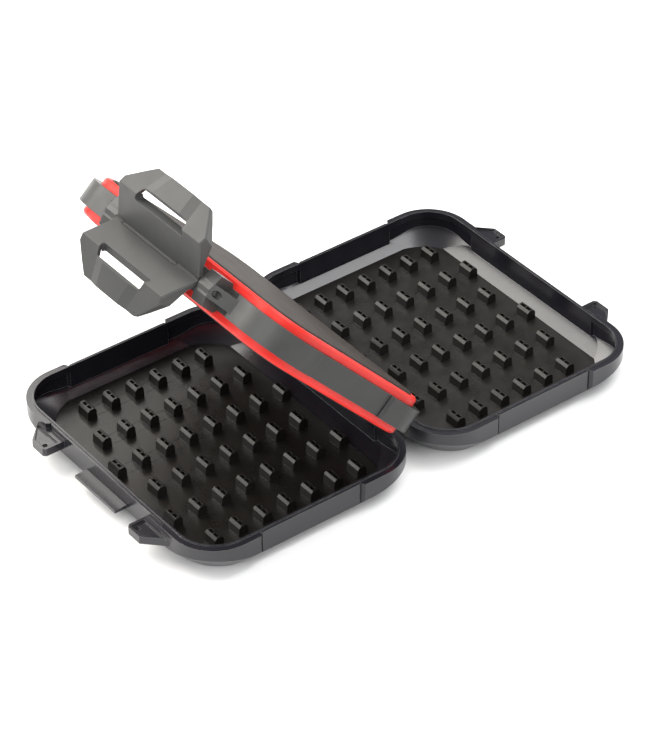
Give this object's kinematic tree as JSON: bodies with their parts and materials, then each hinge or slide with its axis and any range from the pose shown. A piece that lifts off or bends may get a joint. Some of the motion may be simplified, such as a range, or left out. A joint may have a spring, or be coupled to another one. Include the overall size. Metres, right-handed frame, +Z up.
{
  "type": "tackle box",
  "caption": "Double-sided tackle box lying open: two pegged trays hinged to a sealed centre leaf that carries a pair of bent latches on its free edge.",
  "frame": {"origin": "on the table under the middle of the hinge line, which is the bottom centre of the open box", "axes": "+X from the hinge line to the right tray's latch side, +Y along the hinge line away from the viewer, +Z up"},
  "size_m": [0.301, 0.1702, 0.1669],
  "materials": {
    "tray_plastic": "satin",
    "mat_rubber": "satin",
    "leaf_plastic": "satin",
    "plate_plastic": "smooth satin",
    "seal_rubber": "satin",
    "latch_plastic": "satin",
    "steel": "brushed"
  },
  "bodies": {
    "left_tray": {"left_tray_shell": "tray_plastic", "left_peg_mat": "mat_rubber", "left_peg_strip_1": "mat_rubber", "left_peg_strip_2": "mat_rubber", "left_peg_strip_3": "mat_rubber", "left_peg_strip_4": "mat_rubber", "left_peg_strip_5": "mat_rubber", "left_peg_strip_6": "mat_rubber"},
    "leaf": {"leaf_frame": "leaf_plastic", "upper_face_plate": "plate_plastic", "lower_face_plate": "plate_plastic", "upper_gasket": "seal_rubber", "lower_gasket": "seal_rubber", "latch_pin": "steel", "rear_hinge_pin": "steel", "front_hinge_pin": "steel"},
    "right_tray": {"right_tray_shell": "tray_plastic", "right_peg_mat": "mat_rubber", "right_peg_strip_1": "mat_rubber", "right_peg_strip_2": "mat_rubber", "right_peg_strip_3": "mat_rubber", "right_peg_strip_4": "mat_rubber", "right_peg_strip_5": "mat_rubber", "right_peg_strip_6": "mat_rubber"},
    "upper_latch": {"upper_latch": "latch_plastic"},
    "lower_latch": {"lower_latch": "latch_plastic"}
  },
  "joints": [
    {"name": "leaf_hinge", "type": "hinge", "parent": "left_tray", "child": "leaf", "pos_m": [0, 0, 0.028], "axis": [0, 1, 0], "range_deg": [-47.1, 0]},
    {"name": "right_tray_hinge", "type": "hinge", "parent": "leaf", "child": "right_tray", "pos_m": [0, 0, 0.028], "axis": [0, 1, 0], "range_deg": [-132.9, 0]},
    {"name": "upper_latch_hinge", "type": "hinge", "parent": "leaf", "child": "upper_latch", "pos_m": [-0.10007, 0, 0.13568], "axis": [0, 1, 0], "range_deg": [0, 42]},
    {"name": "lower_latch_hinge", "type": "hinge", "parent": "leaf", "child": "lower_latch", "pos_m": [-0.10007, 0, 0.13568], "axis": [0, 1, 0], "range_deg": [-42, 0]}
  ]
}
